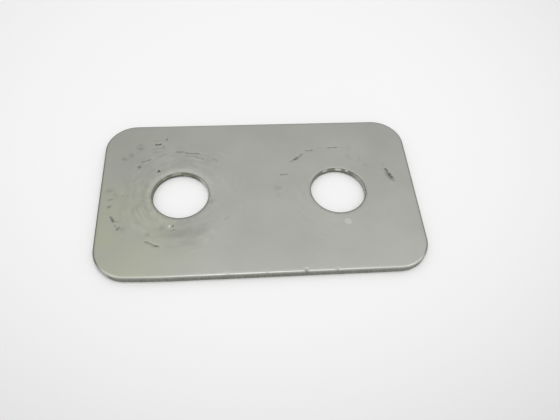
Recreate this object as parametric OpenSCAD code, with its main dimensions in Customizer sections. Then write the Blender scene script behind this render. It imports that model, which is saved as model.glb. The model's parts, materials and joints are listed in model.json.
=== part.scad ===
// Exhaust mounting plate: a flat blank of sheet steel with rounded corners and a pair of bolt holes.
// The blank and its holes are sheared in one stroke of the press, so every cut edge has the same section:
// its upper corner is drawn down to a small radius and its lower corner has lost its burr.
// The origin is the middle of the underside, +X runs along the length and +Z out of the upper face.

/* [Plate] */
// Overall length
plate_length = 60; // [56:0.5:90]
// Overall width
plate_width = 35; // [25:0.5:50]
// Thickness of the sheet
sheet_thickness = 1.4; // [1:0.1:4]
// Radius of the four corners
corner_radius = 6; // [2:0.5:12]

/* [Bolt holes] */
// Diameter of each hole, with clearance for its bolt
hole_diameter = 10.5; // [4:0.1:14]
// Distance between the centres of the holes
hole_spacing = 30; // [20:0.5:36]

/* [Sheared edges] */
// Radius drawn down along the upper rim of the blank
rim_roll = 0.4; // [0.1:0.05:0.6]
// Radius drawn down round the upper mouth of each hole
mouth_roll = 0.15; // [0.1:0.05:0.6]
// Bevel left on the lower edges where the burr is taken off
burr_bevel = 0.15; // [0.05:0.05:0.3]

/* [Hidden] */
$fn = 96;

steel_colour = [0.66, 0.66, 0.63];

// The flat middle of the blank, between the centres of its corners
core_length = plate_length - 2 * corner_radius;
core_width = plate_width - 2 * corner_radius;

// Each hole is a collar of sheared edge, set in a plain opening that it fills
hole_radius = hole_diameter / 2;
collar_width = mouth_roll + burr_bevel;
opening_radius = hole_radius + collar_width;
overcut = sheet_thickness / 2;

// Section of a sheared edge: the metal reaches back from the cut face at x = 0, and y is the height
module sheared_edge(reach, roll) {
    wall_top = sheet_thickness - roll;
    polygon([
        [-reach, 0],
        [-burr_bevel, 0],
        [0, burr_bevel],
        [0, wall_top],
        [-roll, wall_top],
        [-roll, sheet_thickness],
        [-reach, sheet_thickness]
    ]);
    translate([-roll, wall_top]) {
        intersection() {
            circle(roll);
            square(sheet_thickness);
        }
    }
}

// A straight stretch of the rim, facing +X, with its cut face at x = 0
module straight_rim(run) {
    rotate([90, 0, 0]) {
        linear_extrude(height = run, center = true) {
            sheared_edge(corner_radius, rim_roll);
        }
    }
}

// A rounded corner of the blank, facing +X and +Y, about its own centre
module round_corner() {
    rotate_extrude(angle = 90) {
        translate([corner_radius, 0]) {
            sheared_edge(corner_radius, rim_roll);
        }
    }
}

// The blank before piercing: its core, with the same rim carried along the sides and round the corners
module blank() {
    linear_extrude(height = sheet_thickness) {
        square([core_length, core_width], center = true);
    }
    for (half_turn = [0, 180]) {
        rotate(half_turn) {
            translate([plate_length / 2, 0, 0]) straight_rim(core_width);
            rotate(90) translate([plate_width / 2, 0, 0]) straight_rim(core_length);
            translate([core_length / 2, core_width / 2, 0]) round_corner();
            translate([-core_length / 2, core_width / 2, 0]) rotate(90) round_corner();
        }
    }
}

// The rolled mouth, the wall and the bevelled underside of one hole
module hole_collar() {
    rotate_extrude() {
        translate([hole_radius, 0]) {
            mirror([1, 0]) sheared_edge(collar_width, mouth_roll);
        }
    }
}

// Places its children on both hole centres
module at_holes() {
    for (side = [-1, 1]) {
        translate([side * hole_spacing / 2, 0, 0]) children();
    }
}

module mounting_plate() {
    color(steel_colour) {
        difference() {
            blank();
            at_holes() {
                translate([0, 0, -overcut]) {
                    cylinder(h = sheet_thickness + 2 * overcut, r = opening_radius);
                }
            }
        }
        at_holes() hole_collar();
    }
}

mounting_plate();
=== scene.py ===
"""Looks of the exhaust mounting plate: a worn blank of sheet steel on a pale ground.

The plate's mesh follows the solid's form and adds the wear that the photograph shows: gouges, pits, nicks
in the rim and the prints of washers round its holes. It also carries painted highlights and painted shade.
Sizes are in millimetres, and MM turns them into metres. Near and far are as the camera sees them, along Y,
and angles about a hole count from +X.
"""
import json
import math

import bpy
import numpy as np
from mathutils import Matrix, Vector, geometry, noise


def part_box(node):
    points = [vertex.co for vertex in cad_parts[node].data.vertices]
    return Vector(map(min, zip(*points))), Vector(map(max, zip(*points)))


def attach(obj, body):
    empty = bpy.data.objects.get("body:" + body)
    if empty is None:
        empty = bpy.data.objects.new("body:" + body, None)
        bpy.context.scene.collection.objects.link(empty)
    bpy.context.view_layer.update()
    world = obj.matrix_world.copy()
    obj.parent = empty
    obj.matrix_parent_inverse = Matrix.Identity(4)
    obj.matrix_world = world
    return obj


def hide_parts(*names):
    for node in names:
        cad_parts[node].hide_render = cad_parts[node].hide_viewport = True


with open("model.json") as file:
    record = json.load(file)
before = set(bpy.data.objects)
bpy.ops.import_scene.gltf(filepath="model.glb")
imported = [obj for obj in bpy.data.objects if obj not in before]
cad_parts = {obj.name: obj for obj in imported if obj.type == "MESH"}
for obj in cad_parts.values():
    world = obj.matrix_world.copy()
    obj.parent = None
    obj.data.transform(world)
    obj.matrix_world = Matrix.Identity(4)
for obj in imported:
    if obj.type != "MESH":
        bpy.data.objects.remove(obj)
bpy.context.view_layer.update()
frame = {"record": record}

MM = 0.001
NODE = "mounting_plate"

# Form of the plate: its overall size and holes come from the frame
low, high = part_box(NODE)
LENGTH, WIDTH, THICKNESS = ((high - low) / MM)[:]
CORNER_RADIUS = 6.0
RIM_ROLL = 0.4
MOUTH_ROLL = 0.15
BURR_BEVEL = 0.15
MOUNTS = {mount["name"]: mount for mount in frame["record"]["mounts"]}
LEFT = MOUNTS["bolt_hole_left"]["pos_m"][0] / MM
RIGHT = MOUNTS["bolt_hole_right"]["pos_m"][0] / MM
HOLE_RADIUS = MOUNTS["bolt_hole_left"]["dims"]["r_mm"]

# The far right corner of the plate, and the centre of the arc that rounds it
CORNER = np.array((LENGTH, WIDTH)) / 2
ARC_CENTRE = CORNER - CORNER_RADIUS

# The rim is worn back about its near left corner: by how much along X and Y, and how far from the corner
WORN_BACK = (0.08, 0.36)
WORN_REACH = 14.0

# Fineness of the mesh: steps along each part of the edges, and between the points of the faces
LONG_STEPS = 192
SHORT_STEPS = 92
CORNER_STEPS = 28
HOLE_STEPS = 240
ROLL_STEPS = 8
WALL_STEPS = 8
FACE_STEP = 0.45
MARK_STEP = 0.11
UNDERSIDE_STEP = 1.2

# The finer points reach this far beyond a mark, and points keep this share of their step from the edges
MARK_MARGIN = 0.30
EDGE_GAP = 0.5

# Faces that meet at more than this angle have a sharp edge
SHARP_ANGLE = math.radians(32)

# Triangulation: the kind that fills only inside the outermost edges, and the distance at which points join
INSIDE_EDGES = 1
JOIN_DISTANCE = 1e-7

# Gouges: start, end, width, depth and how much dark dirt each holds
GOUGES = [
    ((25.1, 4.7), (25.45, 3.7), 0.80, 0.05, 0.75),
    ((25.4, 3.8), (25.9, 2.6), 1.25, 0.08, 0.90),
    ((25.85, 2.7), (26.15, 2.1), 1.00, 0.06, 0.60),
    ((6.5, 7.3), (7.3, 7.85), 0.45, 0.04, 0.50),
    ((7.2, 7.75), (7.75, 8.1), 0.65, 0.07, 0.95),
    ((7.6, 8.1), (8.9, 9.15), 0.55, 0.04, 0.45),
    ((9.7, 9.9), (11.0, 10.0), 0.42, 0.025, 0.65),
    ((14.4, 10.6), (16.0, 10.6), 0.55, 0.025, 0.55),
    ((4.1, 4.0), (5.4, 4.1), 0.50, 0.02, 0.50),
    ((-20.3, 12.45), (-19.25, 12.5), 0.46, 0.04, 1.25),
    ((-18.15, 13.6), (-18.05, 14.0), 0.50, 0.035, 0.80),
    ((-22.7, 8.1), (-21.1, 8.65), 0.48, 0.02, 0.50),
    ((-14.3, 10.1), (-11.6, 9.85), 0.40, 0.015, 0.65),
    ((-16.1, 10.4), (-14.8, 10.45), 0.42, 0.015, 0.60),
    ((-14.3, 9.4), (-12.7, 9.2), 0.32, 0.01, 0.40),
    ((-12.5, 9.1), (-10.9, 8.45), 0.35, 0.015, 0.40),
    ((-20.55, 13.4), (-19.15, 13.6), 0.32, 0.01, 0.30),
    ((-20.7, 11.35), (-19.25, 11.5), 0.36, 0.01, 0.32),
    ((-20.75, 10.45), (-19.2, 10.75), 0.36, 0.01, 0.32),
    ((-23.7, 12.4), (-22.75, 12.5), 0.36, 0.01, 0.35),
    ((-27.45, -4.5), (-26.95, -5.5), 0.52, 0.045, 0.82),
    ((-26.95, -5.5), (-26.0, -5.6), 0.32, 0.02, 0.50),
    ((-26.6, -6.35), (-26.3, -6.8), 0.40, 0.035, 0.45),
    ((-26.15, -7.25), (-25.75, -6.85), 0.58, 0.05, 0.65),
    ((-20.9, -10.05), (-19.8, -10.6), 0.50, 0.03, 0.50),
    ((-19.5, -10.9), (-18.6, -11.15), 0.55, 0.045, 0.80),
    ((-16.6, -7.85), (-15.7, -7.85), 0.32, 0.02, 0.60),
    ((-28.4, -0.75), (-27.6, -0.7), 0.36, 0.015, 0.50),
]

# Pits: centre, width, depth and dirt
PITS = [
    ((-19.3, 5.72), 0.82, 0.08, 1.40),
    ((-23.1, 6.95), 1.00, 0.05, 0.65),
    ((-27.95, -2.2), 0.95, 0.045, 0.65),
    ((-16.15, -7.0), 0.55, 0.04, 0.95),
]

# A pit is a gouge that ends where it starts
MARKS = GOUGES + [(centre, centre, width, deep, soil) for centre, width, deep, soil in PITS]

# Soft shades on the face, in part painted shade and painted light, in part smudges: centre, radius and
# tone, where a tone above 0 is darker
SHADING_AND_SMUDGES = [
    # Broad painted shade and painted light for how the light falls across the face; (-14, -9) is a smudge
    ((3.0, -13.0), 14.0, 0.08),
    ((15.0, -17.0), 13.0, 0.035),
    ((-14.0, -9.0), 6.0, 0.09),
    ((-25.0, 12.0), 10.0, 0.07),
    ((-23.0, 0.0), 7.0, 0.06),
    ((15.0, 9.5), 10.0, -0.05),
    ((-4.0, 13.0), 9.0, -0.04),
    ((-7.0, 1.0), 5.0, -0.04),
    # Small dark smudges
    ((-24.8, 9.95), 0.85, 0.28),
    ((-25.9, 8.9), 0.75, 0.28),
    ((-23.3, 11.5), 0.85, 0.26),
    ((-23.5, 12.8), 0.65, 0.07),
    ((-18.6, 11.7), 0.65, 0.25),
    ((-8.4, 8.3), 0.60, 0.24),
    ((-28.2, 1.4), 0.90, 0.20),
    ((-27.0, 0.3), 0.90, 0.15),
    ((-25.2, -0.3), 0.60, 0.20),
    ((-25.0, -7.3), 0.80, 0.20),
    ((-20.8, -7.4), 0.70, 0.08),
    ((-20.5, -8.6), 0.70, 0.16),
    ((-17.9, -7.3), 0.90, 0.15),
    ((-6.2, -5.5), 0.60, 0.20),
    ((-9.0, -1.8), 0.60, 0.20),
    ((3.5, 0.8), 0.60, 0.28),
    ((3.6, -1.0), 0.50, 0.14),
    ((18.0, 8.2), 0.90, 0.15),
    ((20.2, 7.6), 0.60, 0.18),
    ((18.2, 10.3), 1.00, 0.06),
    ((21.2, 6.0), 0.80, 0.13),
    ((24.7, 5.6), 0.50, 0.22),
    # A painted light halo beside the large gouge
    ((25.9, 1.2), 0.70, -0.09),
    # A painted glint
    ((-16.8, -6.95), 0.40, -1.15),
    # Small lighter spots
    ((15.8, -7.5), 0.90, -0.34),
    ((-19.6, -4.2), 0.80, -0.13),
    ((-9.0, -8.6), 0.90, -0.10),
    ((-10.2, -10.2), 1.00, -0.10),
    ((-21.8, 7.7), 0.60, -0.13),
]

# Prints that washers left round the holes: hole, radius, width, first and last angle, depth and tone
PRINTS = [
    (LEFT, 8.6, 3.4, 225, 325, 0.010, 0.09),
    (LEFT, 7.9, 3.0, 70, 170, 0.008, 0.05),
    (LEFT, 6.9, 0.7, 150, 235, 0.015, 0.12),
    (LEFT, 6.1, 0.5, 130, 215, 0.010, -0.12),
    (LEFT, 6.3, 0.5, 5, 75, 0.008, -0.08),
    (LEFT, 7.2, 0.6, 10, 80, 0.008, 0.06),
    (LEFT, 8.1, 0.5, 15, 70, 0.006, -0.04),
    (LEFT, 10.3, 0.35, 40, 130, 0.012, 0.06),
    (LEFT, 13.6, 0.40, 105, 150, 0.012, 0.05),
    (RIGHT, 10.8, 0.35, 60, 150, 0.012, 0.05),
    (RIGHT, 8.3, 0.50, 20, 75, 0.008, 0.04),
]

# The mouths of the holes are worn in a band, with a painted highlight on its far side and a narrow band
# of painted shade on the near side: hole, width and depth of the worn band, shine of the painted highlight
# and tone of the painted shade
MOUTH_WEAR_AND_SHADING = [
    (LEFT, 0.8, 0.010, 0.28, 0.34),
    (RIGHT, 0.4, 0.004, 0.14, 0.34),
]
MOUTH_SHADE_WIDTH = 0.35

# How much of a hole's middle line counts as its far side, and how fast that grows behind it
FAR_SIDE_MIDDLE = 0.35
FAR_SIDE_RISE = 0.9

# Lighter places on the walls of the holes: the wide stretches on each hole's right-hand side are painted
# light for light falling there, the narrow ones in the right hole are painted glints, and those in the left
# hole are
# lighter streaks: hole, first and last angle, lowest and highest place as shares of the thickness, and
# shine
WALL_LIGHT_AND_GLINTS = [
    (LEFT, -45, 60, -0.5, 1.5, 0.80),
    (LEFT, 68, 88, -0.30, 0.55, 0.32),
    (LEFT, 87, 113, 0.35, 1.00, 0.38),
    (LEFT, 120, 134, 0.40, 1.20, 0.30),
    (RIGHT, -45, 60, -0.5, 1.5, 0.40),
    (RIGHT, 59, 68, 0.50, 1.10, 0.90),
    (RIGHT, 73, 91, 0.35, 1.00, 0.95),
    (RIGHT, 105, 119, 0.40, 1.10, 0.75),
]

# Painted highlights on the drawn-down edges: how bright they are at the holes, along the near rim and round
# the near corners
MOUTH_HIGHLIGHT = 0.1
RIM_HIGHLIGHT = 0.55
CORNER_HIGHLIGHT = 0.95

# The painted highlight begins where an edge leans this far to the near side, and is full a span later
NEAR_FROM = 0.42
NEAR_SPAN = 0.38

# How fast an edge that leans to one side becomes a corner, and how fast the painted highlight grows with
# the bend, along the rim and in addition at a corner
CORNER_RISE = 2.5
BEND_RISE = 2.2
CORNER_BEND_RISE = 1.8

# Painted light on the rim's wall about the near left corner, where light falls on it: how bright, from
# which lean to the left, within which span, and how fast it begins on the near side
LEFT_WALL_PAINTED_LIGHT = 0.5
LEFT_FROM = 0.42
LEFT_SPAN = 0.15
LEFT_NEAR_RISE = 3.0

# Painted shade on the drawn-down corner of an edge, for its dark edge line: how much darker it is, and how
# fast that grows with the bend
ROLL_PAINTED_SHADE = 0.45
ROLL_RISE = 2.0

# The drawn-down corner takes on the look of the wall from this tilt on, within a span of degrees
SHEAR_FROM = 38.0
SHEAR_SPAN = 40.0

# Nicks in the near rim: place along the rim, width and depth
NEAR_NICKS = [
    (-6.6, 2.0, 0.03),
    (0.3, 0.6, 0.06),
    (7.2, 0.8, 0.115),
    (12.7, 0.6, 0.085),
]

# A nick goes back by this share of its depth and holds this much dirt for each millimetre of it
NICK_BACK = 0.5
NICK_DIRT = 4.0

# Heights on an edge, as shares of the thickness, where a nick begins and where the torn metal and the dirty
# foot of a wall begin, with the spans within which each is full
NICK_FROM = 0.35
NICK_SPAN = 0.50
TORN_FROM = 0.75
TORN_SPAN = 0.40
FOOT_FROM = 0.45
FOOT_SPAN = 0.35

# Torn metal: depth, features a millimetre, mean and swing of the torn share, and the kind of its noise
TEAR_DEPTH = 0.05
TEAR_SCALE = 1.7
TEAR_MEAN = 0.4
TEAR_SWING = 0.6
TEAR_FRACTAL = (0.9, 2.0, 3)

# Soil on the walls of the rim and the holes, its share above the foot, and what it adds to dirt and tears
RIM_SOIL = 0.0
LEFT_SOIL = 1.0
RIGHT_SOIL = 0.25
HIGH_SOIL = 0.5
FOOT_DIRT = 0.9
TORN_SOIL = 2.0

# How far the edges of marks stray and how often in a millimetre, how much farther those of shades stray,
# and how much wider than drawn the marks become; the seed keeps the noise for this the same at each run
STRAY = 0.15
STRAY_SCALE = 1.9
SHADE_STRAY = 4.0
MARK_SPREAD = 1.3
STRAY_SEED = 1


def smooth(value):
    """Eases a value from 0 to 1 with no slope at either end."""
    value = np.clip(value, 0.0, 1.0)
    return value * value * (3.0 - 2.0 * value)


def groove(distance, width):
    """Section of a gouge or pit: 1 on its middle line and 0 at half its width."""
    return smooth(1.0 - distance / (0.5 * width))


def plateau(away, half):
    """Weight of a stretch: 1 for the inner half of the way from its middle to its end, and 0 at its end."""
    return smooth(2.0 - 2.0 * away / half)


def below(height, start, span):
    """Eases from 0 at a height to 1 at a span below it, both shares of the thickness."""
    return float(smooth((start * THICKNESS - height) / (span * THICKNESS)))


def above(height, start, span):
    """Eases from 0 at a height to 1 at a span above it, both shares of the thickness."""
    return float(smooth((height - start * THICKNESS) / (span * THICKNESS)))


def segment_distance(points, start, end):
    """Distance of each point from a segment."""
    start, end = np.array(start), np.array(end)
    run = end - start
    place = np.clip((points - start) @ run / max(run @ run, 1e-9), 0.0, 1.0)
    return np.linalg.norm(points - start - place[:, None] * run, axis=1)


def axis_distance(points, hole_x):
    """Distance of each point from the axis of a hole."""
    return np.hypot(points[:, 0] - hole_x, points[:, 1])


def mouth_distance(points, hole_x):
    """Distance of each point outward from the mouth of a hole."""
    return axis_distance(points, hole_x) - HOLE_RADIUS - MOUTH_ROLL


def mouth_weight(points, hole_x, width):
    """Weight of a band round a hole: 1 at its mouth and 0 at the band's outside."""
    return smooth(1.0 - mouth_distance(points, hole_x) / width)


def sector_weight(points, hole_x, first, last):
    """Weight of the points between two angles about a hole, faded towards both."""
    angle = np.degrees(np.arctan2(points[:, 1], points[:, 0] - hole_x))
    middle, half = 0.5 * (first + last), 0.5 * (last - first)
    return plateau(np.abs((angle - middle + 180.0) % 360.0 - 180.0), half)


def arc_weight(points, hole_x, radius, width, first, last):
    """Weight of a ring's stretch between two angles, faded at its ends and sides."""
    distance = np.abs(axis_distance(points, hole_x) - radius)
    return groove(distance, width) * sector_weight(points, hole_x, first, last)


def far_side(points, hole_x):
    """Weight of the far side of a hole: 1 behind it and 0 before it."""
    return smooth(FAR_SIDE_MIDDLE + FAR_SIDE_RISE * points[:, 1] / axis_distance(points, hole_x))


def strayed(points):
    """The points moved a little, unevenly, so that marks taken from them have ragged edges."""
    moves = [noise.noise_vector(Vector((x, y, 0.0)) * STRAY_SCALE)[:2] for x, y in points]
    return points + STRAY * np.array(moves)


def face_wear(points):
    """Depth, dirt and tone of the upper face's marks at each point; the tone holds painted shade and light.
    """
    depth = np.zeros(len(points))
    dirt = np.zeros(len(points))
    tone = np.zeros(len(points))
    ragged = strayed(points)
    cloudy = points + SHADE_STRAY * (ragged - points)
    for start, end, width, deep, soil in MARKS:
        section = groove(segment_distance(ragged, start, end), MARK_SPREAD * width)
        depth = np.maximum(depth, deep * section)
        dirt = np.maximum(dirt, soil * section)
    for centre, radius, shade in SHADING_AND_SMUDGES:
        tone += shade * groove(np.linalg.norm(cloudy - np.array(centre), axis=1), 2.0 * radius)
    for hole_x, radius, width, first, last, deep, shade in PRINTS:
        weight = arc_weight(points, hole_x, radius, width, first, last)
        depth += deep * weight
        tone += shade * weight
    for hole_x, width, deep, _, shade in MOUTH_WEAR_AND_SHADING:
        depth += deep * mouth_weight(points, hole_x, width)
        tone += shade * mouth_weight(points, hole_x, MOUTH_SHADE_WIDTH) * (1.0 - far_side(points, hole_x))
    return depth, dirt, tone


def mouth_highlight(points):
    """Painted highlight of the worn bands round the holes at each point: most in the middle of a band."""
    polish = np.zeros(len(points))
    for hole_x, width, _, shine, _ in MOUTH_WEAR_AND_SHADING:
        band = groove(np.abs(mouth_distance(points, hole_x) - 0.5 * width), width)
        polish = np.maximum(polish, shine * band * far_side(points, hole_x))
    return polish


def near_marks(points):
    """Which points lie on or beside a gouge, a pit or a small shade, where the mesh is finer."""
    close = np.zeros(len(points), bool)
    for start, end, width, _, _ in MARKS:
        close |= segment_distance(points, start, end) < 0.5 * width + MARK_MARGIN
    for centre, radius, _ in SHADING_AND_SMUDGES:
        if radius < FACE_STEP:
            close |= np.linalg.norm(points - np.array(centre), axis=1) < radius + MARK_MARGIN
    return close


def worn_back(points):
    """The points moved inward about the near left corner, where the rim is worn back."""
    distance = np.linalg.norm(points + CORNER, axis=1)
    return points + smooth(1.0 - distance / WORN_REACH)[:, None] * np.array(WORN_BACK)


def corner_arc(corner, inset):
    """Points round one corner, drawn in by inset; corners count from the far right one."""
    centre = ARC_CENTRE * [(1, 1), (-1, 1), (-1, -1), (1, -1)][corner]
    angles = np.radians(90.0 * (corner + np.arange(CORNER_STEPS + 1) / CORNER_STEPS))
    return centre + (CORNER_RADIUS - inset) * np.column_stack((np.cos(angles), np.sin(angles)))


def rim_loop(inset):
    """Points of the plate's outline, drawn in by inset, counter-clockwise from the right-hand side."""
    points = []
    for corner in range(4):
        arc = corner_arc(corner, inset)
        run = corner_arc((corner + 1) % 4, inset)[0] - arc[-1]
        steps = (LONG_STEPS, SHORT_STEPS)[corner % 2]
        points += list(arc) + [arc[-1] + run * step / steps for step in range(1, steps)]
    return worn_back(np.array(points))


def hole_loop(hole_x, inset):
    """Points round a hole, drawn back from its wall by inset, clockwise."""
    angles = -2.0 * math.pi * np.arange(HOLE_STEPS) / HOLE_STEPS
    radius = HOLE_RADIUS + inset
    return np.column_stack((hole_x + radius * np.cos(angles), radius * np.sin(angles)))


def face_points(step, rim_inset, hole_inset):
    """Points of a triangular lattice that lie on a flat face, clear of its edges."""
    rows = np.arange(-WIDTH / 2, WIDTH / 2, step * math.sqrt(0.75))
    columns = np.arange(-LENGTH / 2, LENGTH / 2, step)
    points = np.array([(x + 0.5 * step * (row % 2), y) for row, y in enumerate(rows) for x in columns])
    gap = EDGE_GAP * step
    beyond = np.maximum(np.abs(points) - ARC_CENTRE, 0.0)
    kept = np.linalg.norm(beyond, axis=1) < CORNER_RADIUS - rim_inset - gap
    for hole_x in (LEFT, RIGHT):
        kept &= axis_distance(points, hole_x) > HOLE_RADIUS + hole_inset + gap
    return points[kept]


def edge_stations(roll):
    """Section of a sheared edge from the upper face down: inset, height and share of sheared wall."""
    stations = []
    for step in range(ROLL_STEPS + 1):
        tilt = 0.5 * math.pi * step / ROLL_STEPS
        inset = roll * (1.0 - math.sin(tilt))
        height = THICKNESS - roll * (1.0 - math.cos(tilt))
        stations.append((inset, height, float(smooth((math.degrees(tilt) - SHEAR_FROM) / SHEAR_SPAN))))
    wall_top = THICKNESS - roll
    for step in range(1, WALL_STEPS + 1):
        stations.append((0.0, wall_top + (BURR_BEVEL - wall_top) * step / WALL_STEPS, 1.0))
    stations.append((BURR_BEVEL, 0.0, 1.0))
    return stations


class PlateMesh:
    """Collects the plate's points with their wear and painted light, and its faces."""

    LAYERS = ("dirt", "tone", "polish", "sheared", "torn", "soil")

    def __init__(self):
        self.points = []
        self.faces = []
        self.wear = {layer: [] for layer in self.LAYERS}

    def add(self, points, **wear):
        """Adds points and the wear given for them, and returns their numbers."""
        first = len(self.points)
        self.points += [tuple(point) for point in points]
        for layer in self.LAYERS:
            self.wear[layer] += list(np.broadcast_to(wear.get(layer, 0.0), len(points)))
        return list(range(first, first + len(points)))

    def band(self, upper, lower):
        """Joins two closed loops of the same length with quads that face out of the metal."""
        for here in range(len(upper)):
            after = (here + 1) % len(upper)
            self.faces.append((upper[here], lower[here], lower[after], upper[after]))

    def fill(self, flat, loops, numbers, turned):
        """Fills a flat face between its rim, which is the first loop, and its holes.

        A triangle with all its corners on one hole lies across that hole, and is left out.
        """
        edges = []
        owners = np.full(len(flat), -1)
        start = 0
        for loop, size in enumerate(loops):
            edges += [(start + here, start + (here + 1) % size) for here in range(size)]
            owners[start:start + size] = loop
            start += size
        points = [Vector(point) for point in flat]
        filled = geometry.delaunay_2d_cdt(points, edges, [], INSIDE_EDGES, JOIN_DISTANCE)
        triangles, origins = filled[2:4]
        for triangle in triangles:
            corners = [origins[corner][0] for corner in triangle]
            owner = owners[corners]
            if owner[0] > 0 and np.all(owner == owner[0]):
                continue
            face = [numbers[corner] for corner in corners]
            self.faces.append(tuple(reversed(face)) if turned else tuple(face))

    def build(self, name):
        """Makes the Blender object, in metres."""
        mesh = bpy.data.meshes.new(name)
        mesh.from_pydata([[MM * value for value in point] for point in self.points], [], self.faces)
        mesh.validate()
        for layer in self.LAYERS:
            attribute = mesh.attributes.new(layer, "FLOAT", "POINT")
            attribute.data.foreach_set("value", np.array(self.wear[layer], np.float32))
        mesh.shade_smooth()
        mesh.set_sharp_from_angle(angle=SHARP_ANGLE)
        obj = bpy.data.objects.new(name, mesh)
        bpy.context.scene.collection.objects.link(obj)
        return obj


def tear(points, share):
    """How far the torn metal of a wall lies behind the true wall at each point."""
    rough = np.array([noise.fractal(Vector(point) * TEAR_SCALE, *TEAR_FRACTAL) for point in points])
    return TEAR_DEPTH * share * np.clip(TEAR_MEAN + TEAR_SWING * rough, 0.0, 1.0)


def nick(points):
    """How deep the nicks of the near rim are at each point of the outline."""
    depth = np.zeros(len(points))
    near = points[:, 1] < -ARC_CENTRE[1]
    for place, width, deep in NEAR_NICKS:
        depth += near * deep * groove(np.abs(points[:, 0] - place), width)
    return depth


def wall_light_and_glints(points, height):
    """Painted light and glints on the holes' walls at each point of one level of them."""
    bright = np.zeros(len(points))
    for hole_x, first, last, lowest, highest, shine in WALL_LIGHT_AND_GLINTS:
        on_wall = axis_distance(points, hole_x) < HOLE_RADIUS + MOUTH_ROLL
        middle, half = 0.5 * (lowest + highest), 0.5 * (highest - lowest)
        level = float(plateau(abs(height / THICKNESS - middle), half))
        bright = np.maximum(bright, shine * level * on_wall * sector_weight(points, hole_x, first, last))
    return bright


def left_wall_painted_light(outward):
    """Painted light on the rim's wall about the near left corner, by its outward directions."""
    leftward = smooth((-outward[:, 0] - LEFT_FROM) / LEFT_SPAN)
    return LEFT_WALL_PAINTED_LIGHT * leftward * smooth(-LEFT_NEAR_RISE * outward[:, 1])


def roll_highlight(outward, shine, bend, is_rim):
    """Painted highlight on a drawn-down corner at one level of its bend, by its outward directions."""
    near_side = smooth((-outward[:, 1] - NEAR_FROM) / NEAR_SPAN)
    corner = smooth(CORNER_RISE * np.abs(outward[:, 0])) * is_rim
    peak = shine + (CORNER_HIGHLIGHT - shine) * corner
    return peak * near_side * smooth((BEND_RISE + CORNER_BEND_RISE * corner) * bend)


def add_edge(mesh, loop_at, roll, shine, soil, is_rim):
    """Adds one sheared edge, and returns its loops on the upper face and on the underside."""
    flats = []
    rows = []
    for inset, height, wall in edge_stations(roll):
        flat = loop_at(inset)
        outward = loop_at(inset - 1.0) - flat
        face = 1.0 - wall
        bend = 1.0 - inset / roll if height > BURR_BEVEL else 0.0
        foot = below(height, FOOT_FROM, FOOT_SPAN)
        torn = wall * below(height, TORN_FROM, TORN_SPAN) * (height > 0.0)

        depth, dirt, tone = face_wear(flat)
        back = tear(np.column_stack((flat, np.full(len(flat), height))), torn)
        cut = nick(flat) * is_rim * above(height, NICK_FROM, NICK_SPAN)
        shifted = flat - outward * (back + NICK_BACK * cut)[:, None]
        heights = height - depth * face - cut * (height > THICKNESS / 2)

        # Painted highlights on the drawn-down corners and in the worn bands round the holes
        polish = np.maximum(mouth_highlight(flat), roll_highlight(outward, shine, bend, is_rim)) * face
        # Painted light and glints on the walls
        bright = np.maximum(wall_light_and_glints(flat, height), left_wall_painted_light(outward) * is_rim)
        packed = np.maximum(NICK_DIRT * cut, FOOT_DIRT * soil * foot * wall)
        numbers = mesh.add(
            np.column_stack((shifted, heights)),
            dirt=np.maximum(dirt * face, packed) * (1.0 - bright),
            # Painted shade on the drawn-down corners
            tone=tone * face + ROLL_PAINTED_SHADE * face * float(smooth(ROLL_RISE * bend)),
            polish=np.maximum(polish, bright * wall),
            sheared=wall,
            torn=wall * foot * min(TORN_SOIL * soil, 1.0),
            soil=soil * wall * (HIGH_SOIL + (1.0 - HIGH_SOIL) * foot) * (1.0 - bright),
        )
        if rows:
            mesh.band(rows[-1], numbers)
        flats.append(flat)
        rows.append(numbers)
    return (flats[0], rows[0]), (flats[-1], rows[-1])


def add_face(mesh, borders, scattered, upper):
    """Fills the upper face or the underside between its borders, with points scattered over it."""
    height = THICKNESS if upper else 0.0
    depth, dirt, tone = face_wear(scattered) if upper else np.zeros((3, len(scattered)))
    inner = mesh.add(
        np.column_stack((scattered, height - depth)),
        dirt=dirt,
        tone=tone,
        polish=mouth_highlight(scattered) if upper else 0.0,
    )
    flat = np.concatenate([border[0] for border in borders] + [scattered])
    numbers = [number for border in borders for number in border[1]] + inner
    mesh.fill(flat, [len(border[0]) for border in borders], numbers, not upper)


def make_plate():
    """The plate: its rim, its two holes, its worn upper face and its plain underside."""
    noise.seed_set(STRAY_SEED)
    mesh = PlateMesh()
    edges = [
        add_edge(mesh, rim_loop, RIM_ROLL, RIM_HIGHLIGHT, RIM_SOIL, True),
        add_edge(mesh, lambda inset: hole_loop(LEFT, inset), MOUTH_ROLL, MOUTH_HIGHLIGHT, LEFT_SOIL, False),
        add_edge(mesh, lambda inset: hole_loop(RIGHT, inset), MOUTH_ROLL, MOUTH_HIGHLIGHT, RIGHT_SOIL, False),
    ]
    coarse = face_points(FACE_STEP, RIM_ROLL, MOUTH_ROLL)
    fine = face_points(MARK_STEP, RIM_ROLL, MOUTH_ROLL)
    marked = np.concatenate((coarse[~near_marks(coarse)], fine[near_marks(fine)]))
    plain = face_points(UNDERSIDE_STEP, BURR_BEVEL, BURR_BEVEL)
    add_face(mesh, [edge[0] for edge in edges], worn_back(marked), True)
    add_face(mesh, [edge[1] for edge in edges], worn_back(plain), False)
    return mesh.build("worn_plate")


# Noise in a material lies mostly within this range about its mean
NOISE_RANGE = (0.25, 0.75)
NOISE_MEAN = 0.5

# The marks of a ring are at full strength for this share of the way from its middle to its sides
RING_CORE = 0.55

# Sockets of a Mix node that are for colours, by number because others have the same names
MIX_INPUTS = (6, 7)
MIX_OUTPUT = 2


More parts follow.
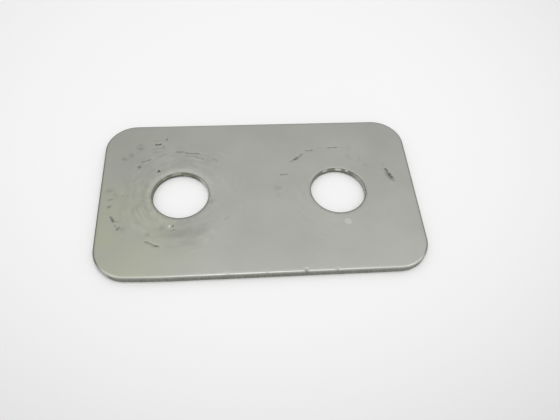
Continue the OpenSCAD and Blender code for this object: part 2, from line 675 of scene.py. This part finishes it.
class Shader:
    """Short calls for building a material's nodes."""

    def __init__(self, name):
        self.material = bpy.data.materials.new(name)
        self.material.use_nodes = True
        self.tree = self.material.node_tree
        self.principled = self.tree.nodes["Principled BSDF"]
        self.place = self.tree.nodes.new("ShaderNodeTexCoord").outputs["Object"]
        axes = self.tree.nodes.new("ShaderNodeSeparateXYZ")
        self.link(self.place, axes.inputs["Vector"])
        self.axes = axes.outputs

    def link(self, source, socket):
        """Joins an output to an input."""
        self.tree.links.new(source, socket)

    def layer(self, name):
        """One of the mesh's wear layers."""
        node = self.tree.nodes.new("ShaderNodeAttribute")
        node.attribute_name = name
        return node.outputs["Fac"]

    def math(self, operation, first, second):
        """One sum on two values, either of which may be a number."""
        node = self.tree.nodes.new("ShaderNodeMath")
        node.operation = operation
        for socket, value in zip(node.inputs, (first, second)):
            if isinstance(value, (int, float)):
                socket.default_value = value
            else:
                self.link(value, socket)
        return node.outputs["Value"]

    def times(self, first, second):
        """The product of two values."""
        return self.math("MULTIPLY", first, second)

    def spread(self, value, first, last, start=0.0, end=1.0, manner="LINEAR"):
        """Maps a value from start and end to first and last."""
        node = self.tree.nodes.new("ShaderNodeMapRange")
        node.interpolation_type = manner
        node.inputs["From Min"].default_value = start
        node.inputs["From Max"].default_value = end
        node.inputs["To Min"].default_value = first
        node.inputs["To Max"].default_value = last
        self.link(value, node.inputs["Value"])
        return node.outputs["Result"]

    def ramp(self, axis, places, first, last):
        """Goes from first to last between two places along an axis."""
        start, end = places
        return self.spread(self.axes[axis], first, last, start * MM, end * MM)

    def sway(self, value, swing):
        """A factor about 1 that noise makes lower and higher by a swing."""
        return self.spread(value, 1.0 - swing, 1.0 + swing, *NOISE_RANGE)

    def vector(self, operation, first, second=None):
        """The node of one step on vectors, of which the second may be a plain one or left out."""
        node = self.tree.nodes.new("ShaderNodeVectorMath")
        node.operation = operation
        self.link(first, node.inputs[0])
        if isinstance(second, tuple):
            node.inputs[1].default_value = second
        elif second is not None:
            self.link(second, node.inputs[1])
        return node

    def noise_at(self, place, scale, detail, roughness):
        """Noise from 0 to 1 at a place."""
        node = self.tree.nodes.new("ShaderNodeTexNoise")
        node.inputs["Scale"].default_value = scale
        node.inputs["Detail"].default_value = detail
        node.inputs["Roughness"].default_value = roughness
        self.link(place, node.inputs["Vector"])
        return node.outputs["Fac"]

    def speckle(self, per_mm, detail, roughness):
        """Noise with so many features a millimetre along X, Y and Z."""
        mapping = self.tree.nodes.new("ShaderNodeMapping")
        mapping.inputs["Scale"].default_value = [count / MM for count in per_mm]
        self.link(self.place, mapping.inputs["Vector"])
        return self.noise_at(mapping.outputs["Vector"], 1.0, detail, roughness)

    def circular(self, centre_x, inner, outer, scale, crowding, detail, roughness):
        """Marks of something turned on the face: noise drawn out along circles, and 0 beyond a ring."""
        offset = self.vector("SUBTRACT", self.place, (centre_x * MM, 0.0, THICKNESS * MM)).outputs["Vector"]
        radius = self.math("DIVIDE", self.vector("LENGTH", offset).outputs["Value"], MM)
        heading = self.vector("NORMALIZE", offset).outputs["Vector"]
        turned = self.tree.nodes.new("ShaderNodeCombineXYZ")
        self.link(self.times(radius, crowding), turned.inputs["Z"])
        place = self.vector("ADD", heading, turned.outputs["Vector"]).outputs["Vector"]
        marks = self.math("SUBTRACT", self.noise_at(place, scale, detail, roughness), NOISE_MEAN)
        middle, half = 0.5 * (inner + outer), 0.5 * (outer - inner)
        away = self.math("ABSOLUTE", self.math("SUBTRACT", radius, middle), 0.0)
        return self.times(marks, self.spread(away, 1.0, 0.0, RING_CORE * half, half))

    def mix(self, factor, first, second):
        """Blends two colours, either of which may be a plain colour."""
        node = self.tree.nodes.new("ShaderNodeMix")
        node.data_type = "RGBA"
        self.link(factor, node.inputs["Factor"])
        for number, value in zip(MIX_INPUTS, (first, second)):
            if isinstance(value, tuple):
                node.inputs[number].default_value = (*value, 1.0)
            else:
                self.link(value, node.inputs[number])
        return node.outputs[MIX_OUTPUT]

    def scaled(self, colour, factor):
        """A colour made lighter or darker by a factor."""
        node = self.vector("SCALE", colour)
        self.link(factor, node.inputs["Scale"])
        return node.outputs["Vector"]

    def bump(self, height, strength, distance):
        """Gives the surface a fine relief."""
        node = self.tree.nodes.new("ShaderNodeBump")
        node.inputs["Strength"].default_value = strength
        node.inputs["Distance"].default_value = distance * MM
        self.link(height, node.inputs["Height"])
        self.link(node.outputs["Normal"], self.principled.inputs["Normal"])


def srgb(red, green, blue):
    """A colour given as it shows on a screen, from 0 to 255, in linear light."""
    return tuple(((value / 255.0 + 0.055) / 1.055) ** 2.4 for value in (red, green, blue))


STEEL = srgb(170, 171, 165)
FILMED = srgb(168, 170, 152)
# BRIGHT is the colour of painted highlights and painted light, partly on bright worn metal
BRIGHT = srgb(222, 222, 216)
SHEARED = srgb(154, 154, 144)
TORN = srgb(127, 127, 117)
DIRT = srgb(62, 61, 57)
OLD_OIL = srgb(124, 123, 98)

# Noise on the steel: features a millimetre along X, Y and Z, detail and roughness
PATCHES = ((0.11, 0.14, 0.14), 4.0, 0.55)
GRAIN = ((0.7, 9.0, 9.0), 2.0, 0.55)
SPECKS = ((5.0, 5.0, 5.0), 3.0, 0.70)
CRUMBS = ((2.2, 2.2, 2.2), 3.0, 0.60)
DRAG_LINES = ((5.0, 5.0, 0.5), 3.0, 0.70)
USE = ((0.21, 0.23, 0.23), 2.0, 0.55)

# How much lighter and darker the noise makes the face
PATCH_SWING = 0.05
GRAIN_SWING = 0.015
SPECK_SWING = 0.03

# Marks of washers and bolt heads turned round the holes, where the face has been in use: hole, inner and
# outer radius, scale, and how much closer they lie across a circle than along it; then their strength
SCUFFS = [
    ((LEFT, 5.4, 14.5, 2.2, 1.1), 0.34),
    ((RIGHT, 5.4, 12.5, 2.2, 1.1), 0.18),
]
TURNED_DETAIL = (3.0, 0.5)
USE_RANGE = (0.44, 0.64)

# Broad smudges, strong on the left of the first place along X and weak on the right of the second
SMUDGES = (LEFT, 3.5, 12.5, 4.5, 0.25)
SMUDGE_X = (-14.0, -7.0)
SMUDGE_STRONG = 0.36
SMUDGE_WEAK = 0.09

# An oily film on the near left of the face: where it thins along X and Y, its share on the far side, its
# share in thin patches, and the range of noise within which it thickens
FILM_X = (-26.0, -6.0)
FILM_Y = (-10.0, 8.0)
FILM_FAR = 0.25
FILM_THIN = 0.45
FILM_RANGE = (0.35, 0.55)

# Dirt in the drag lines of the walls, and how thin and thick oil and dirt lie where they clump
DRAG_DIRT = 0.55
DRAG_RANGE = (0.35, 0.72)
OIL_THIN = 0.35
DIRT_THIN = 0.35
DIRT_THICK = 1.15
CLUMP_RANGE = (0.35, 0.60)

# How metallic and rough the steel is: bare, polished, sheared, and under dirt or soil
BARE_METAL = 0.9
COVERED_METAL = 0.1
SOIL_COVER = 0.7
FACE_ROUGH = (0.40, 0.50)
POLISH_SMOOTHING = 0.12
SHEARED_ROUGH = 0.58
COVERED_ROUGH = 0.75

# Fine relief of the face: the specks' share against the grain's, strength and height
SPECK_RELIEF = 1.5
RELIEF_STRENGTH = 0.22
RELIEF_HEIGHT = 0.02


def make_steel():
    """Satin sheet steel: rolled grain, dull patches, painted highlights on worn edges, and dirt in its
    marks.
    """
    shader = Shader("worn_sheet_steel")
    dirt, tone, polish = shader.layer("dirt"), shader.layer("tone"), shader.layer("polish")
    sheared, torn, soil = shader.layer("sheared"), shader.layer("torn"), shader.layer("soil")
    patches = shader.speckle(*PATCHES)
    grain = shader.speckle(*GRAIN)
    specks = shader.speckle(*SPECKS)

    # How light the face is, with its scuffs, smudges and tone; the tone holds painted shade and painted
    # light
    light = shader.times(shader.sway(patches, PATCH_SWING), shader.sway(grain, GRAIN_SWING))
    light = shader.times(light, shader.sway(specks, SPECK_SWING))
    used = shader.spread(shader.speckle(*USE), 0.0, 1.0, *USE_RANGE)
    for ring, strength in SCUFFS:
        scuffs = shader.times(shader.circular(*ring, *TURNED_DETAIL), used)
        light = shader.times(light, shader.math("ADD", 1.0, shader.times(scuffs, strength)))
    smudged = shader.ramp("X", SMUDGE_X, SMUDGE_STRONG, SMUDGE_WEAK)
    smudges = shader.times(shader.circular(*SMUDGES, *TURNED_DETAIL), smudged)
    light = shader.times(light, shader.math("ADD", 1.0, smudges))
    light = shader.times(light, shader.math("SUBTRACT", 1.0, tone))

    # Colour, from the face up to the dirt that lies on everything else
    film = shader.times(shader.ramp("X", FILM_X, 1.0, 0.0), shader.ramp("Y", FILM_Y, 1.0, FILM_FAR))
    film = shader.times(film, shader.spread(patches, FILM_THIN, 1.0, *FILM_RANGE))
    face = shader.scaled(shader.mix(film, STEEL, FILMED), light)
    dragged = shader.spread(shader.speckle(*DRAG_LINES), 0.0, DRAG_DIRT, *DRAG_RANGE)
    wall = shader.mix(dragged, shader.mix(torn, SHEARED, TORN), DIRT)
    colour = shader.mix(sheared, face, wall)
    oily = shader.times(soil, shader.spread(specks, OIL_THIN, 1.0, *CLUMP_RANGE))
    colour = shader.mix(oily, colour, OLD_OIL)
    # Painted highlights and painted light, partly on bright worn metal
    colour = shader.mix(polish, colour, BRIGHT)
    clumps = shader.spread(shader.speckle(*CRUMBS), DIRT_THIN, DIRT_THICK, *CLUMP_RANGE)
    colour = shader.mix(shader.times(dirt, clumps), colour, DIRT)
    shader.link(colour, shader.principled.inputs["Base Color"])

    # Finish
    covered = shader.math("MAXIMUM", dirt, shader.times(soil, SOIL_COVER))
    metallic = shader.spread(covered, BARE_METAL, COVERED_METAL)
    shader.link(metallic, shader.principled.inputs["Metallic"])
    rough = shader.spread(patches, *FACE_ROUGH, *NOISE_RANGE)
    rough = shader.math("SUBTRACT", rough, shader.times(polish, POLISH_SMOOTHING))
    rough = shader.math("MAXIMUM", rough, shader.spread(sheared, 0.0, SHEARED_ROUGH))
    rough = shader.math("MAXIMUM", rough, shader.times(covered, COVERED_ROUGH))
    shader.link(rough, shader.principled.inputs["Roughness"])
    relief = shader.math("ADD", grain, shader.times(specks, SPECK_RELIEF))
    shader.bump(relief, RELIEF_STRENGTH, RELIEF_HEIGHT)
    return shader.material


# The ground: a pale sheet, palest about its centre, with painted shade for the fall-off of light towards
# its edges; its fade is wider on the far side and narrower on the near side, but never narrower than the
# least share
GROUND_SIZE = 3000.0
GROUND_DROP = 0.02
GROUND_COLOUR = srgb(244.5, 244.5, 244.5)
GROUND_PAINTED_SHADE = srgb(168, 168, 168)
GROUND_CENTRE = (0.9, 14.7)
GROUND_FADE = (27.0, 188.0)
GROUND_WIDENING = 0.005
GROUND_LEAST = 0.2
GROUND_ROUGH = 0.9
GROUND_SHEEN = 0.1

# The fade stops at this share, which it reaches outside the picture, so that the ground stays pale
GROUND_MOST = 0.4


def make_ground():
    """The pale ground, a little below the underside so that the two never share a plane."""
    mesh = bpy.data.meshes.new("ground")
    half = GROUND_SIZE / 2
    corners = [(-half, -half), (half, -half), (half, half), (-half, half)]
    mesh.from_pydata([(x * MM, y * MM, -GROUND_DROP * MM) for x, y in corners], [], [(0, 1, 2, 3)])
    ground = bpy.data.objects.new("ground", mesh)
    bpy.context.scene.collection.objects.link(ground)

    shader = Shader("pale_ground")
    widening = shader.math("ADD", 1.0, shader.times(shader.axes["Y"], GROUND_WIDENING / MM))
    widening = shader.math("MAXIMUM", widening, GROUND_LEAST)
    centre = (*[value * MM for value in GROUND_CENTRE], 0.0)
    distance = shader.vector("DISTANCE", shader.place, centre).outputs["Value"]
    reach = shader.math("DIVIDE", distance, widening)
    # Painted shade: the ground's colour darkens away from its centre
    fade = shader.spread(reach, 0.0, 1.0, *[value * MM for value in GROUND_FADE], "SMOOTHSTEP")
    fade = shader.math("MINIMUM", fade, GROUND_MOST)
    shader.link(shader.mix(fade, GROUND_COLOUR, GROUND_PAINTED_SHADE), shader.principled.inputs["Base Color"])
    shader.principled.inputs["Roughness"].default_value = GROUND_ROUGH
    shader.principled.inputs["Specular IOR Level"].default_value = GROUND_SHEEN
    mesh.materials.append(shader.material)
    return ground


# The camera, fitted to the plate's outline and hole rims in the photograph
IMAGE_WIDTH_PX = 560
FOCAL_PX = 551.26
SENSOR_WIDTH = 36.0
CAMERA_PLACE = (-4.533, -61.693, 86.147)
CAMERA_ELEVATION = math.radians(55.646)
CAMERA_AZIMUTH = math.radians(7.937)
CAMERA_ROLL = math.radians(4.578)
CAMERA_NEAREST = 1.0
CAMERA_FARTHEST = 10000.0


def make_camera():
    """A camera at the photograph's place, angle and focal length."""
    data = bpy.data.cameras.new("camera")
    data.sensor_fit = "HORIZONTAL"
    data.sensor_width = SENSOR_WIDTH
    data.lens = FOCAL_PX / IMAGE_WIDTH_PX * SENSOR_WIDTH
    data.clip_start = CAMERA_NEAREST * MM
    data.clip_end = CAMERA_FARTHEST * MM
    camera = bpy.data.objects.new("camera", data)
    level = math.cos(CAMERA_ELEVATION)
    forward = Vector((
        level * math.sin(CAMERA_AZIMUTH),
        level * math.cos(CAMERA_AZIMUTH),
        -math.sin(CAMERA_ELEVATION),
    ))
    flat_right = Vector((math.cos(CAMERA_AZIMUTH), -math.sin(CAMERA_AZIMUTH), 0.0))
    flat_up = flat_right.cross(forward)
    right = math.cos(CAMERA_ROLL) * flat_right + math.sin(CAMERA_ROLL) * flat_up
    up = right.cross(forward)
    turn = Matrix((right, up, -forward)).transposed().to_4x4()
    camera.matrix_world = Matrix.Translation(Vector(CAMERA_PLACE) * MM) @ turn
    bpy.context.scene.collection.objects.link(camera)
    bpy.context.scene.camera = camera


# The lamp overhead, which faces the plate
LAMP_PLACE = (42.0, -12.0, 598.0)
LAMP_WIDTH = 270.0
LAMP_WATTS = 1.0

# The sky's strength at its edge and in its brightest part, the direction of that part, and how nearly a ray
# has to follow the direction to be within it
SKY_LOW = 0.39
SKY_HIGH = 0.89
SKY_BRIGHTEST = (0.1, 0.0, 0.995)
SKY_WITHIN = 0.95


def make_lamp():
    """A large soft lamp overhead."""
    data = bpy.data.lights.new("overhead_softbox", "AREA")
    data.shape = "SQUARE"
    data.size = LAMP_WIDTH * MM
    data.energy = LAMP_WATTS
    lamp = bpy.data.objects.new("overhead_softbox", data)
    lamp.location = Vector(LAMP_PLACE) * MM
    lamp.rotation_euler = (-lamp.location).to_track_quat("-Z", "Y").to_euler()
    bpy.context.scene.collection.objects.link(lamp)


def make_sky():
    """A pale sky that is brighter towards the top."""
    world = bpy.data.worlds.new("sky")
    world.use_nodes = True
    nodes, links = world.node_tree.nodes, world.node_tree.links
    background = nodes["Background"]
    background.inputs["Color"].default_value = (1.0, 1.0, 1.0, 1.0)
    direction = nodes.new("ShaderNodeTexCoord")
    facing = nodes.new("ShaderNodeVectorMath")
    facing.operation = "DOT_PRODUCT"
    facing.inputs[1].default_value = SKY_BRIGHTEST
    strength = nodes.new("ShaderNodeMapRange")
    strength.interpolation_type = "SMOOTHSTEP"
    strength.inputs["From Max"].default_value = SKY_WITHIN
    strength.inputs["To Min"].default_value = SKY_LOW
    strength.inputs["To Max"].default_value = SKY_HIGH
    links.new(direction.outputs["Generated"], facing.inputs[0])
    links.new(facing.outputs["Value"], strength.inputs["Value"])
    links.new(strength.outputs["Result"], background.inputs["Strength"])
    bpy.context.scene.world = world


plate = make_plate()
plate.data.materials.append(make_steel())
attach(plate, "root")
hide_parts(NODE)
make_ground()
make_camera()
make_lamp()
make_sky()
bpy.context.scene.view_settings.view_transform = "Standard"
